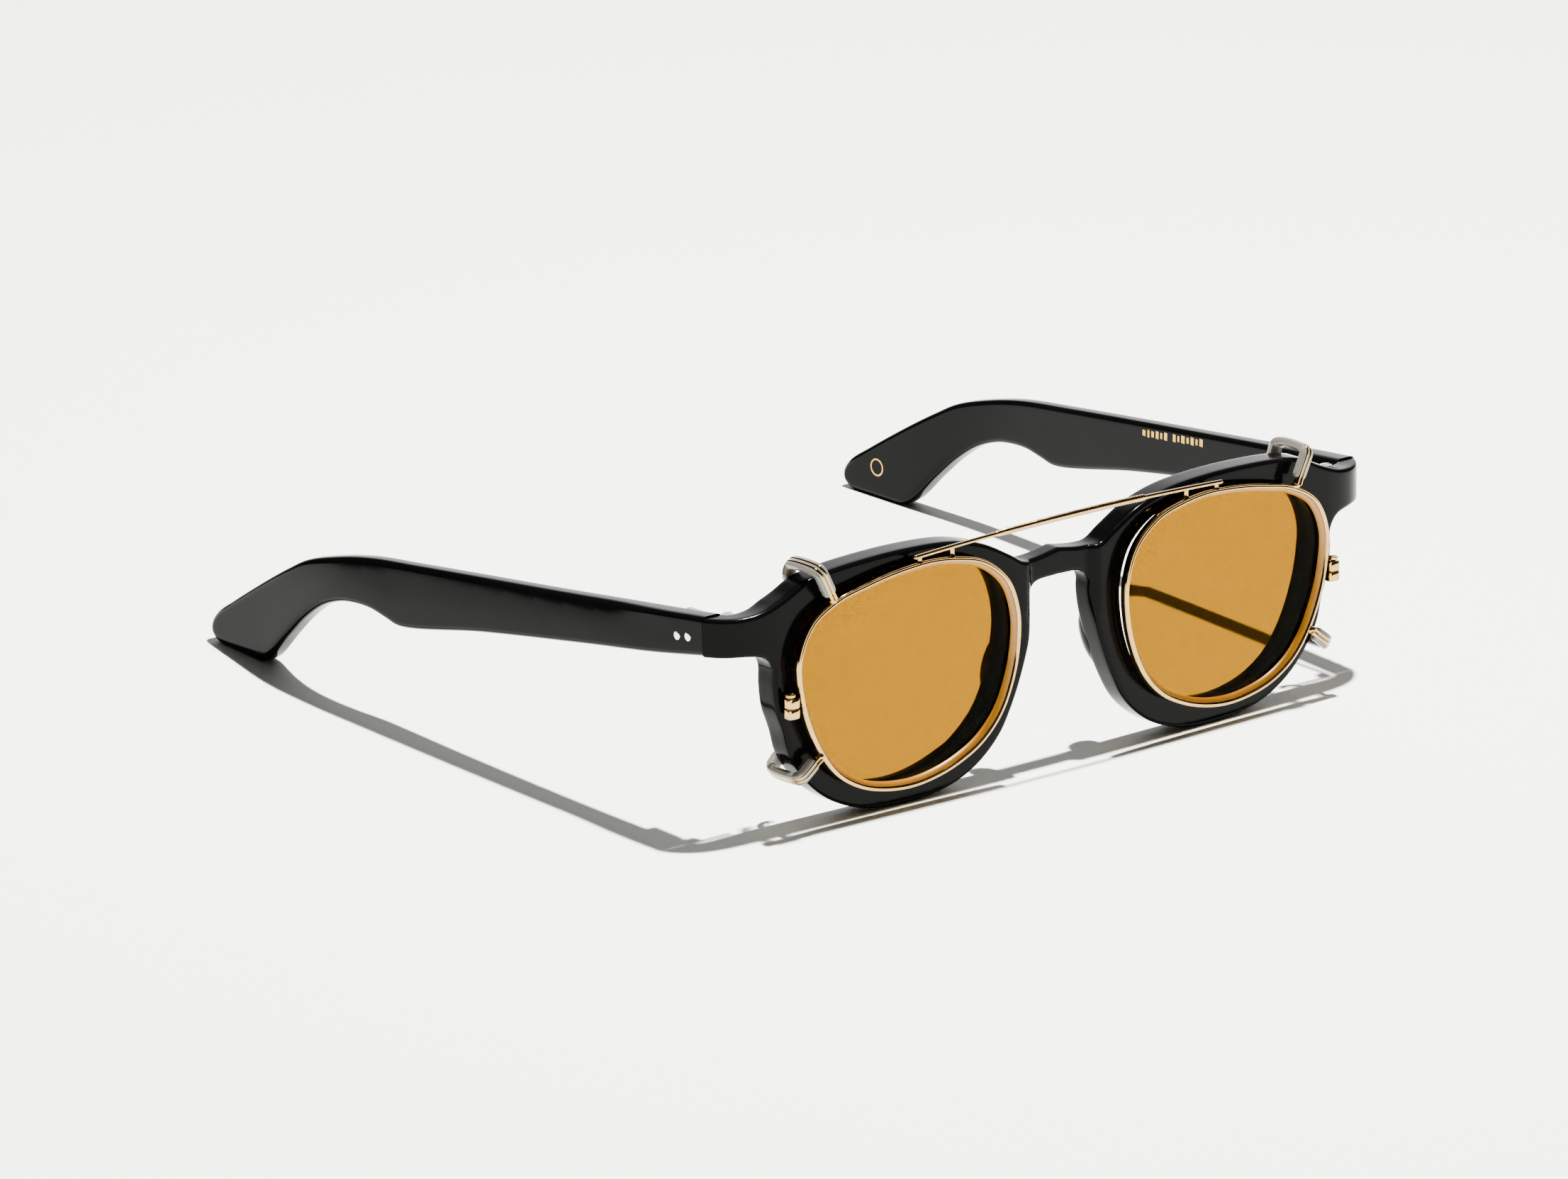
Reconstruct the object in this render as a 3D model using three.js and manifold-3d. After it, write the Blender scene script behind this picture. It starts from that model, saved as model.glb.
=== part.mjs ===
// Acetate spectacles with a gold clip-on sun frame held by four sprung claws.
// Millimetres, +Z up, front of the spectacles towards -Y, wearer's right at -X.
// The front, its hinges and the clip are drawn in a "front frame" whose origin is midway
// between the lens centres, then leaned back and lifted onto the table.
import * as THREE from 'three';
import { mergeVertices } from 'three/addons/utils/BufferGeometryUtils.js';
import Module from 'manifold-3d';

const wasm = await Module();
wasm.setup();

// ---- driving dimensions ----
const EYE_WIDTH = 47;
const EYE_HEIGHT = 38.4;
const BRIDGE = 24;              // between the two eyes
const RIM_BELOW = 4.4;          // acetate below the eye
const LEAN_BACK = 2.06;         // degrees, front leans back at the top
const LENS_WRAP = 1.65;         // degrees, each lens plane turned about the vertical

const FRONT_FACE = 1.7;         // acetate front face behind the clip plane, at the lens centre
const FRONT_THICK = 5.0;
const FRONT_BEND = 0.0004;      // plan curve of the front, per mm
const BRIDGE_SETBACK = 1.2;     // bridge face behind the rim faces
const JOINT_STEP = 1.9;         // butt face of the endpiece behind the back of the front
const GAP = 0.3;                // clearance between neighbouring pieces

const EYE_EASE = 0.15;          // acetate opening outside the clip opening
const LENS_GROOVE = 0.9;        // groove depth in the acetate
const CLEAR_LENS_THICK = 1.6;

const TEMPLE_THICK = 4.45;      // at the joint
const TEMPLE_LENGTH = 143.6;    // rearmost point behind the clip plane
const CORE_RADIUS = 0.65;
const RIVET_RADIUS = 0.75;

const BARREL_RADIUS = 1.35;
const HINGE_SINK = 0.55;          // how far the barrels reach forward of the joint face
const KNUCKLE_HEIGHT = 0.9;
const HINGE_HEIGHT = 10.9;      // hinge mid-height above the lens centres
const LEAF_THICK = 0.85;
const HINGE_SCREW_RADIUS = 0.5;

const RIM_BAND = 0.9;           // clip rim, radial
const RIM_DEPTH = 1.6;          // clip rim, front to back
const RIM_GROOVE = 0.45;
const CLIP_LENS_THICK = 1.3;
const LENS_TONGUE = 0.45;

const BAR_RADIUS = 0.5;
const BAR_MID_RADIUS = 0.7;
const BAR_MID_HALF = 16.6;
const BAR_LEVEL = 20.8;         // bar at its middle, above the lens centres
const BAR_DROP = 1.0;           // how far its ends sit below that

const CLAW_RADIUS = 0.5;
const SLEEVE_WALL = 0.4;
const CLAW_REACH = 1.35;        // sleeve clear of the acetate edge

const BLOCK_WIDTH = 2.4;
const BLOCK_DEPTH = 2.2;
const BLOCK_HALF_HEIGHT = 1.6;
const BLOCK_LEVEL = -1.4;       // split of the closing block, above the lens centre

const deg = THREE.MathUtils.degToRad;
const halfSpacing = (EYE_WIDTH + BRIDGE) / 2;
const centreHeight = EYE_HEIGHT / 2 + RIM_BELOW;
const jointDepth = FRONT_FACE + FRONT_THICK + JOINT_STEP;
const sleeveBore = CLAW_RADIUS + GAP;
const sleeveRadius = sleeveBore + SLEEVE_WALL;

// the outlines below are drawn about the lens centre for this eye and this temple; a wider or
// taller eye stretches what lies beside it and moves what lies beyond it
const drawn = { halfWidth: 23.5, halfHeight: 19.2, temple: 143.6, edge: 37.7 };

function stretch(distance, drawnHalf, half) {
  if (Math.abs(distance) <= drawnHalf) return (distance * half) / drawnHalf;
  return distance + Math.sign(distance) * (half - drawnHalf);
}

function across(u) {
  return stretch(u, drawn.halfWidth, EYE_WIDTH / 2);
}

function level(v) {
  return stretch(v, drawn.halfHeight, EYE_HEIGHT / 2);
}

// ---- outlines ----
// clip opening about the lens centre, x outward and z up
const eyeShape = [
  [22.7, 0], [23.1, 6.2], [20.5, 11.8], [15.2, 15], [9.5, 16.4], [4.5, 17.3], [0, 17.8],
  [-4.8, 18], [-10.1, 17.4], [-15.8, 15.8], [-20.6, 11.9], [-22.8, 6.1], [-22.7, 0],
  [-21.3, -5.7], [-18.8, -10.8], [-14.8, -14.8], [-10, -17.3], [-5, -18.8], [0, -19.4],
  [5.1, -19], [10.3, -17.6], [15, -14.8], [18.5, -10.7], [21.1, -5.5],
];

// the same axes: the acetate round one eye, from the bridge top round to its underside
const frontHalf = [
  [-30, 13.4], [-27.1, 13.6], [-24, 15.4], [-18.2, 18.4], [-11.4, 20.2], [-1.6, 20.9],
  [8.6, 20.7], [15.7, 20.1], [20.1, 19.2], [24.5, 17.1], [29.2, 15.4], [32.7, 14.9],
  [35.5, 14.9], [38.1, 14.9], [38.1, 11.5], [38.1, 8.1], [35.5, 8.1], [31.9, 8.0],
  [28.7, 7.3], [27.1, 5.3], [27, 2], [26.5, -1.9], [24.9, -6.6], [23.7, -10.8],
  [21.1, -14.8], [17.8, -18.2], [13.6, -20.9], [8.3, -22.8], [0.2, -23.6], [-8.8, -23],
  [-15.6, -20.5], [-21, -16.1], [-24.2, -10.9], [-27, -4], [-28.6, 2], [-29, 5.5],
  [-29, 7.4], [-30.3, 9],
];
const bridgeTop = 14.2;
const bridgeUnder = 9.5;

// temple seen from the side, y back and z up, from the joint round to the tip
const templeTop = [
  [2, 39.6], [8.1, 38.6], [28.9, 35.9], [46.9, 33.5], [65.3, 31.1], [84, 28.6], [97.3, 26.7],
  [106.2, 24.6], [114.1, 22.0], [119.5, 19.1], [126.4, 15.0], [136.4, 8.6], [141.3, 5.2],
  [143.4, 3.2], [143.6, 1.6], [142.4, 0.1],
];
const templeBottom = [
  [139.6, -1.0], [127.6, -1.0], [125.4, 1.0], [119.5, 6.7], [114.1, 11.6], [108.8, 15.2],
  [103.8, 17.2], [100.2, 17.9], [95.4, 18.1], [90.9, 17.4], [87.6, 16.9],
  [65.3, 21.5], [37.8, 26.4], [21.9, 29.0], [7.3, 31.7], [2, 32.6],
];
// outer face of the temple along its length, from the endpiece's outer face
const templeOuter = [
  [2, -0.4], [9, 0], [29, 1.2], [47, 1.9], [65, 2.4], [88, 2.9], [106, 3.0],
  [128, 1.6], [150, 0.4],
];
const edgeX = halfSpacing + across(drawn.edge);
const templeInner = edgeX - TEMPLE_THICK;

// ---- helpers ----
function solid(geometry) {
  const bare = new THREE.BufferGeometry();
  bare.setAttribute('position', geometry.getAttribute('position'));
  if (geometry.index) bare.setIndex(geometry.index);
  const merged = mergeVertices(bare, 1e-5);
  const mesh = new wasm.Mesh({
    numProp: 3,
    vertProperties: new Float32Array(merged.getAttribute('position').array),
    triVerts: new Uint32Array(merged.index.array),
  });
  return new wasm.Manifold(mesh);
}

function surface(body) {
  const mesh = body.getMesh();
  const geometry = new THREE.BufferGeometry();
  geometry.setAttribute('position', new THREE.Float32BufferAttribute(mesh.vertProperties, 3));
  geometry.setIndex(new THREE.Uint32BufferAttribute(mesh.triVerts, 1));
  return geometry;
}

function join(...geometries) {
  return surface(geometries.map(solid).reduce((a, b) => a.add(b)));
}

function cut(geometry, ...tools) {
  return surface(tools.map(solid).reduce((a, b) => a.subtract(b), solid(geometry)));
}

function common(a, b) {
  return surface(solid(a).intersect(solid(b)));
}

function smoothLoop(points, count) {
  const knots = points.map(([x, y]) => new THREE.Vector3(x, y, 0));
  const curve = new THREE.CatmullRomCurve3(knots, true, 'centripetal');
  return curve.getSpacedPoints(count).slice(0, count).map((p) => new THREE.Vector2(p.x, p.y));
}

function smoothRun(points, count) {
  const knots = points.map(([x, y]) => new THREE.Vector3(x, y, 0));
  const curve = new THREE.CatmullRomCurve3(knots, false, 'centripetal');
  return curve.getSpacedPoints(count).map((p) => new THREE.Vector2(p.x, p.y));
}

function offsetLoop(loop, distance) {
  return loop.map((p, i) => {
    const before = loop[(i + loop.length - 1) % loop.length];
    const after = loop[(i + 1) % loop.length];
    const along = after.clone().sub(before).normalize();
    return new THREE.Vector2(p.x + along.y * distance, p.y - along.x * distance);
  });
}

// outline in x and z, thickness along y from front to back
function plate(loop, front, back) {
  const geometry = new THREE.ExtrudeGeometry(new THREE.Shape(loop), {
    depth: back - front, bevelEnabled: false, steps: 1,
  });
  geometry.rotateX(Math.PI / 2);
  geometry.translate(0, back, 0);
  return geometry;
}

// outline in x and y, height along z
function slab(loop, low, high) {
  const geometry = new THREE.ExtrudeGeometry(new THREE.Shape(loop), {
    depth: high - low, bevelEnabled: false, steps: 1,
  });
  geometry.translate(0, 0, low);
  return geometry;
}

// outline in y and z, width along x
function profile(loop, inner, outer) {
  const geometry = new THREE.ExtrudeGeometry(new THREE.Shape(loop), {
    depth: outer - inner, bevelEnabled: false, steps: 1,
  });
  const turn = new THREE.Matrix4().makeBasis(
    new THREE.Vector3(0, 1, 0), new THREE.Vector3(0, 0, 1), new THREE.Vector3(1, 0, 0));
  geometry.applyMatrix4(turn);
  geometry.translate(inner, 0, 0);
  return geometry;
}

function box(x0, x1, y0, y1, z0, z1) {
  const geometry = new THREE.BoxGeometry(x1 - x0, y1 - y0, z1 - z0);
  geometry.translate((x0 + x1) / 2, (y0 + y1) / 2, (z0 + z1) / 2);
  return geometry;
}

function post(x, y, low, high, radius, sides = 20) {
  const geometry = new THREE.CylinderGeometry(radius, radius, high - low, sides);
  geometry.rotateX(Math.PI / 2);
  geometry.translate(x, y, (low + high) / 2);
  return geometry;
}

function pinAlongX(x0, x1, y, z, radius, sides = 16) {
  const geometry = new THREE.CylinderGeometry(radius, radius, x1 - x0, sides);
  geometry.rotateZ(Math.PI / 2);
  geometry.translate((x0 + x1) / 2, y, z);
  return geometry;
}

// round wire along a smooth path, closed at both ends; radiusAt gives the radius at 0..1
function wire(points, radiusAt, steps, sides = 14) {
  const curve = new THREE.CatmullRomCurve3(
    points.map((p) => new THREE.Vector3(...p)), false, 'centripetal');
  const frames = curve.computeFrenetFrames(steps, false);
  const places = [];
  for (let i = 0; i <= steps; i += 1) {
    const centre = curve.getPointAt(i / steps);
    const radius = radiusAt(i / steps);
    for (let j = 0; j < sides; j += 1) {
      const angle = (2 * Math.PI * j) / sides;
      const place = centre.clone()
        .addScaledVector(frames.normals[i], radius * Math.cos(angle))
        .addScaledVector(frames.binormals[i], radius * Math.sin(angle));
      places.push(place.x, place.y, place.z);
    }
  }
  const faces = [];
  for (let i = 0; i < steps; i += 1) {
    for (let j = 0; j < sides; j += 1) {
      const a = i * sides + j;
      const b = i * sides + ((j + 1) % sides);
      faces.push(a, b, b + sides, a, b + sides, a + sides);
    }
  }
  const first = (steps + 1) * sides;
  const start = curve.getPointAt(0);
  const end = curve.getPointAt(1);
  places.push(start.x, start.y, start.z, end.x, end.y, end.z);
  for (let j = 0; j < sides; j += 1) {
    const k = (j + 1) % sides;
    faces.push(first, k, j);
    faces.push(first + 1, steps * sides + j, steps * sides + k);
  }
  const geometry = new THREE.BufferGeometry();
  geometry.setAttribute('position', new THREE.Float32BufferAttribute(places, 3));
  geometry.setIndex(faces);
  return geometry;
}

function mirrored(geometry) {
  const copy = geometry.clone();
  copy.scale(-1, 1, 1);
  if (!copy.index) {
    const order = [...Array(copy.getAttribute('position').count).keys()];
    copy.setIndex(order);
  }
  const index = copy.index.array;
  for (let i = 0; i < index.length; i += 3) {
    const swap = index[i];
    index[i] = index[i + 1];
    index[i + 1] = swap;
  }
  return copy;
}

// ---- shared curves ----
const eye = smoothLoop(eyeShape.map(([u, v]) => [across(u), level(v)]), 52);

function faceDepth(x) {
  return FRONT_FACE + FRONT_BEND * (x * x - halfSpacing * halfSpacing);
}

// from the lens's own axes to the front frame, left side
function toEye(geometry) {
  const copy = geometry.clone();
  copy.rotateZ(deg(LENS_WRAP));
  copy.translate(halfSpacing, 0, 0);
  return copy;
}

// from the front frame to the table
function toTable(geometry) {
  const copy = geometry.clone();
  copy.rotateX(-deg(LEAN_BACK));
  copy.translate(0, 0, centreHeight);
  return copy;
}

// ---- front ----
function buildFront() {
  const side = frontHalf.map(([u, v]) => [halfSpacing + across(u), level(v)]);
  const outline = [
    [0, level(bridgeTop)], ...side, [0, level(bridgeUnder)],
    ...side.slice().reverse().map(([x, z]) => [-x, z]),
  ];
  const blank = plate(smoothLoop(outline, 132), -4, jointDepth + 4);
  const turn = edgeX - 11.2;
  const nose = halfSpacing - across(drawn.halfWidth) - 3.8;
  const stations = [];
  for (let i = 0; i <= 13; i += 1) stations.push(nose + ((turn - nose) * i) / 13);
  const sunk = faceDepth(0) + BRIDGE_SETBACK;
  const front = [[nose - 1.8, sunk], ...stations.map((x) => [x, faceDepth(x)])];
  const rear = stations.map((x) => [x, faceDepth(x) + FRONT_THICK]);
  const bend = [
    [edgeX - 7.7, jointDepth - 5.4], [edgeX - 5, jointDepth - 4.6],
    [edgeX - 2.9, jointDepth - 3.4], [edgeX - 1.3, jointDepth - 1.9], [edgeX, jointDepth],
    [templeInner, jointDepth], [templeInner - 1.2, jointDepth - 0.7],
    [templeInner - 3, jointDepth - 0.9],
  ];
  const half = [...front, ...bend, ...rear.reverse()];
  const loop = [...half, ...half.slice().reverse().map(([x, y]) => [-x, y])]
    .map(([x, y]) => new THREE.Vector2(x, y));
  const bent = common(blank, slab(loop, -60, 60));
  const hole = toEye(plate(offsetLoop(eye, EYE_EASE), -6, jointDepth + 6));
  const middle = FRONT_FACE + FRONT_THICK / 2;
  const reach = CLEAR_LENS_THICK / 2 + GAP;
  const groove = toEye(
    plate(offsetLoop(eye, EYE_EASE + LENS_GROOVE), middle - reach, middle + reach));
  return cut(bent, hole, mirrored(hole), groove, mirrored(groove));
}

function buildClearLens() {
  const middle = FRONT_FACE + FRONT_THICK / 2;
  const half = CLEAR_LENS_THICK / 2;
  return toEye(plate(offsetLoop(eye, EYE_EASE + LENS_GROOVE - GAP), middle - half, middle + half));
}

function buildNosePad() {
  const x = halfSpacing + across(-24.6);
  const back = faceDepth(x) + FRONT_THICK + GAP;
  const pad = new THREE.SphereGeometry(1, 20, 12);
  pad.scale(2.0, 2.6, 5.7);
  pad.rotateZ(deg(-24));
  pad.rotateY(deg(-21));
  pad.translate(x, back - 0.2, level(-4.8));
  return common(pad, box(-80, 80, back, back + 20, -60, 60));
}

// ---- hinge ----
const axisX = templeInner - GAP - BARREL_RADIUS;
const axisY = jointDepth - HINGE_SINK + BARREL_RADIUS;
const hingeMiddle = level(HINGE_HEIGHT);
const knuckleLow = [0, 1, 2, 3, 4].map(
  (i) => hingeMiddle - 2.5 * KNUCKLE_HEIGHT - 2 * GAP + i * (KNUCKLE_HEIGHT + GAP));
const hingeLow = knuckleLow[0];
const hingeHigh = knuckleLow[4] + KNUCKLE_HEIGHT;
const bore = post(axisX, axisY, hingeLow - 1, hingeHigh + 1, HINGE_SCREW_RADIUS + GAP);

function buildHingeFront() {
  const rest = Math.max(faceDepth(edgeX - 11.2) + FRONT_THICK, jointDepth - 0.9) + GAP;
  const pieces = [box(axisX - 6.9, axisX - BARREL_RADIUS - GAP, rest, rest + LEAF_THICK,
    hingeLow, hingeHigh)];
  for (const i of [0, 2, 4]) {
    const low = knuckleLow[i];
    const high = low + KNUCKLE_HEIGHT;
    pieces.push(box(axisX - BARREL_RADIUS - 1, axisX, rest, rest + LEAF_THICK, low, high));
    pieces.push(post(axisX, axisY, low, high, BARREL_RADIUS));
  }
  return cut(join(...pieces), bore);
}

function buildHingeTemple() {
  const outer = templeInner - GAP;
  const pieces = [box(outer - LEAF_THICK, outer, axisY + BARREL_RADIUS + GAP, axisY + 9,
    hingeLow, hingeHigh)];
  for (const i of [1, 3]) {
    const low = knuckleLow[i];
    const high = low + KNUCKLE_HEIGHT;
    pieces.push(box(outer - LEAF_THICK, outer, axisY, axisY + BARREL_RADIUS + 1, low, high));
    pieces.push(post(axisX, axisY, low, high, BARREL_RADIUS));
  }
  return cut(join(...pieces), bore);
}

function buildHingeScrew() {
  const shank = post(axisX, axisY, hingeLow - 0.3, hingeHigh + 0.35, HINGE_SCREW_RADIUS);
  const head = post(axisX, axisY, hingeHigh + 0.3, hingeHigh + 0.75, 1.05);
  const slot = box(axisX - 2, axisX + 2, axisY - 0.14, axisY + 0.14,
    hingeHigh + 0.6, hingeHigh + 2);
  return cut(join(shank, head), slot);
}

// ---- temple, drawn straight onto the table ----
const drawnJoint = 8.6;
const rivetPlaces = [[12.6, 34.2], [15.2, 33.8]];
const hingeRise = centreHeight + level(HINGE_HEIGHT) - (23.6 + HINGE_HEIGHT);

// moves a point drawn at y, z to this temple: the joint follows the front, the tip the length
function alongTemple(y, z) {
  const t = THREE.MathUtils.clamp((y - drawnJoint) / 80, 0, 1);
  const ahead = (jointDepth - drawnJoint) * (1 - t);
  return [y + ahead + t * (TEMPLE_LENGTH - drawn.temple), z + hingeRise * (1 - t)];
}

function templeRun() {
  const run = templeOuter.map(([y, x]) => [alongTemple(y, 0)[0], edgeX + x]);
  return smoothRun(run, 24);
}

function templePlan() {
  const outer = templeRun();
  const inner = outer.map((p) => {
    const thin = THREE.MathUtils.clamp((p.x - jointDepth) / 80, 0, 1) * 0.5;
    return new THREE.Vector2(p.y - TEMPLE_THICK + thin, p.x);
  });
  return [...outer.map((p) => new THREE.Vector2(p.y, p.x)), ...inner.reverse()];
}

const corePath = [
  [-2.2, 6, 36.9], [-1.9, 14, 36.4], [-1.3, 24, 33.6], [-0.4, 47, 28.8], [0.4, 75, 24.1],
  [0.8, 96, 21.8], [0.7, 106, 19.8], [0.2, 116, 14.6], [-0.5, 126, 8.6],
].map(([x, y, z]) => [edgeX + x, ...alongTemple(y, z)]);

function buildTemple(tableLevel) {
  const side = [...templeTop, ...templeBottom];
  const top = smoothRun(side.slice(0, templeTop.length).map(([y, z]) => alongTemple(y, z)), 36);
  const lower = smoothRun(side.slice(templeTop.length).map(([y, z]) => alongTemple(y, z)), 36);
  const blank = common(profile([...top, ...lower], edgeX - 20, edgeX + 20),
    slab(templePlan(), -5, 90));
  const ahead = toTable(box(edgeX - 30, edgeX + 30, -30, jointDepth + GAP, -70, 70));
  const coreBore = wire(corePath, () => CORE_RADIUS + GAP, 22, 8);
  const bores = rivetPlaces.map(([y, z]) => {
    const [py, pz] = alongTemple(y, z);
    return pinAlongX(edgeX - 20, edgeX + 20, py, pz, RIVET_RADIUS + GAP);
  });
  const under = box(edgeX - 30, edgeX + 30, 0, 200, tableLevel - 20, tableLevel);
  return cut(blank, ahead, under, coreBore, ...bores);
}

function buildCore() {
  const rod = wire(corePath, () => CORE_RADIUS, 22, 8);
  const ahead = toTable(box(edgeX - 30, edgeX + 30, -30, jointDepth + GAP + 0.2, -70, 70));
  const last = corePath[corePath.length - 1][1] - 1;
  return cut(rod, ahead, box(edgeX - 30, edgeX + 30, last, last + 20, -20, 60));
}

function buildRivet([y, z]) {
  const [py, pz] = alongTemple(y, z);
  const outer = templeRun().reduce(
    (best, p) => (Math.abs(p.x - py) < Math.abs(best.x - py) ? p : best)).y;
  return pinAlongX(templeInner + 0.25, outer + 0.1, py, pz, RIVET_RADIUS);
}

// ---- clip ----
const blockMiddle = halfSpacing + across(23.0) + RIM_BAND + GAP + BLOCK_WIDTH / 2;
const blockSlit = 0.15;
const blockLevel = level(BLOCK_LEVEL);

function buildRim() {
  const outer = plate(offsetLoop(eye, RIM_BAND), -RIM_DEPTH / 2, RIM_DEPTH / 2);
  const opening = plate(eye, -RIM_DEPTH, RIM_DEPTH);
  const reach = LENS_TONGUE / 2 + GAP;
  const groove = plate(offsetLoop(eye, RIM_GROOVE), -reach, reach);
  const edge = across(drawn.halfWidth);
  const slit = box(edge - 5, edge + 6, -4, 4, blockLevel - blockSlit, blockLevel + blockSlit);
  return toEye(cut(outer, opening, groove, slit));
}

function buildClipLens() {
  const half = CLIP_LENS_THICK / 2;
  const body = plate(offsetLoop(eye, -GAP), -half, half);
  const tongue = plate(offsetLoop(eye, RIM_GROOVE - 0.25), -LENS_TONGUE / 2, LENS_TONGUE / 2);
  return toEye(join(body, tongue));
}

const barHalf = halfSpacing - 0.9;
const barPath = [-1, -0.75, -0.48, -0.24, 0, 0.24, 0.48, 0.75, 1].map((t) => {
  const x = t * barHalf;
  const y = -0.35 + FRONT_BEND * (x * x - halfSpacing * halfSpacing);
  return [x, y, level(BAR_LEVEL) - BAR_DROP * t * t];
});

function barRadius(t) {
  const x = Math.abs(t - 0.5) * 2 * barHalf;
  const blend = THREE.MathUtils.smoothstep(BAR_MID_HALF + 0.6 - x, 0, 1.2);
  const tip = Math.min(1, (barHalf - x) / BAR_RADIUS);
  const dome = Math.sqrt(Math.max(0.15, 1 - (1 - tip) ** 2));
  return (BAR_RADIUS + (BAR_MID_RADIUS - BAR_RADIUS) * blend) * dome;
}

function buildBar() {
  return wire(barPath, barRadius, 48, 10);
}

function barLevel(x) {
  return level(BAR_LEVEL) - BAR_DROP * (x / barHalf) ** 2;
}

function buildFoot(u, rimTop) {
  const x = halfSpacing + across(u);
  const foot = new THREE.CylinderGeometry(0.42, 0.6, 1, 20);
  foot.rotateX(Math.PI / 2);
  const low = level(rimTop) + RIM_BAND + 0.1;
  const high = barLevel(x) - BAR_RADIUS - 0.05;
  foot.scale(1, 1, high - low);
  const y = -0.2 + FRONT_BEND * (x * x - halfSpacing * halfSpacing);
  foot.translate(x, y, (low + high) / 2);
  return foot;
}

// claws run from the rim over the edge of the acetate and hook behind it; each is given by its
// place on the rim, and by how far out the acetate's edge and the hook's end lie
function rimEdge(angle) {
  const at = deg(angle);
  const target = new THREE.Vector2(Math.cos(at), Math.sin(at));
  const loop = offsetLoop(eye, RIM_BAND + 0.2);
  return loop.reduce((best, p) => (
    p.clone().normalize().dot(target) > best.clone().normalize().dot(target) ? p : best));
}

function clawPath(base, edge, end) {
  const root = rimEdge(base);
  const out = new THREE.Vector2(across(edge[0]), level(edge[1]));
  const tip = new THREE.Vector2(across(end[0]), level(end[1]));
  const away = out.clone().sub(root).normalize();
  const clear = CLAW_REACH + sleeveRadius;
  const back = faceDepth(halfSpacing + out.x) + FRONT_THICK;
  const behind = back + sleeveRadius + 0.45;
  const spot = (p, push, y) => {
    const q = p.clone().addScaledVector(away, push);
    return [halfSpacing + q.x, y, q.y];
  };
  return [
    spot(root, 0, 0.3), spot(root, (out.distanceTo(root)) * 0.45, 0.3),
    spot(out, clear - 2, 0.35), spot(out, clear - 0.55, 1.05), spot(out, clear, 2.7),
    spot(out, clear, back - 0.9), spot(out, clear - 0.7, behind - 0.7),
    spot(tip, 1.6, behind), spot(tip, 0, behind),
  ];
}

const upperClaw = clawPath(43.5, [18.3, 19.7], [18.0, 17.4]);
const lowerClaw = clawPath(-28.8, [22.3, -12.9], [20.6, -11.9]);

function domed(t, radius) {
  const near = Math.min(t, 1 - t) * 22;
  return near >= 1 ? radius : radius * Math.sqrt(Math.max(0.3, 1 - (1 - near) ** 2));
}

function buildClaw(path) {
  return wire(path, (t) => domed(t, CLAW_RADIUS), 22, 8);
}

function buildSleeve(path) {
  const curve = new THREE.CatmullRomCurve3(
    path.map((p) => new THREE.Vector3(...p)), false, 'centripetal');
  const start = 0.14;
  const covered = [];
  for (let i = 0; i <= 14; i += 1) {
    covered.push(curve.getPointAt(start + ((1 - start) * i) / 14).toArray());
  }
  const skin = wire(covered, () => sleeveRadius, 16, 10);
  const run = [path[0], ...covered, overshoot(covered[13], covered[14], 1.5)];
  const tunnel = wire(run, () => sleeveBore, 20, 10);
  return cut(skin, tunnel);
}

function overshoot(from, to, distance) {
  const a = new THREE.Vector3(...from);
  const b = new THREE.Vector3(...to);
  const step = b.clone().sub(a).setLength(distance);
  return b.add(step).toArray();
}

function buildBlock(upper) {
  const low = upper ? blockLevel + blockSlit : blockLevel - blockSlit - BLOCK_HALF_HEIGHT;
  const y = 0.65;
  const block = box(blockMiddle - BLOCK_WIDTH / 2, blockMiddle + BLOCK_WIDTH / 2,
    y - BLOCK_DEPTH / 2, y + BLOCK_DEPTH / 2, low, low + BLOCK_HALF_HEIGHT);
  return cut(block, post(blockMiddle, y, low - 1, low + BLOCK_HALF_HEIGHT + 1, 0.75));
}

function buildBlockScrew() {
  const high = blockLevel + blockSlit + BLOCK_HALF_HEIGHT;
  const low = blockLevel - blockSlit - BLOCK_HALF_HEIGHT;
  const shank = post(blockMiddle, 0.65, low - 0.2, high + 0.35, 0.45);
  const head = post(blockMiddle, 0.65, high + 0.25, high + 0.75, 0.85);
  const slot = box(blockMiddle - 2, blockMiddle + 2, 0.53, 0.77, high + 0.5, high + 2);
  return cut(join(shank, head), slot);
}

// ---- materials ----
const looks = {
  acetate: { color: 0x0b0b0c, roughness: 0.12, metalness: 0 },
  gold: { color: 0xd2b98a, roughness: 0.25, metalness: 1 },
  steel: { color: 0xc9c9cb, roughness: 0.3, metalness: 1 },
  amber: { color: 0xc98a3a, roughness: 0.05, metalness: 0, transparent: true, opacity: 0.7 },
  clear: { color: 0xf2f5f4, roughness: 0.03, metalness: 0, transparent: true, opacity: 0.25 },
  silicone: { color: 0xf1efe8, roughness: 0.4, metalness: 0, transparent: true, opacity: 0.5 },
};

const group = new THREE.Group();
group.name = 'spectacles_with_clip_on';

function add(name, geometry, look) {
  const plain = new THREE.BufferGeometry();
  plain.setAttribute('position', geometry.getAttribute('position').clone());
  if (geometry.index) plain.setIndex(geometry.index.clone());
  plain.computeVertexNormals();
  const mesh = new THREE.Mesh(plain, new THREE.MeshStandardMaterial(looks[look]));
  mesh.name = name;
  group.add(mesh);
}

function addPair(name, geometry, look, onTable = true) {
  const placed = onTable ? toTable(geometry) : geometry;
  add(`${name}_left`, placed, look);
  add(`${name}_right`, mirrored(placed), look);
}

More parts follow.
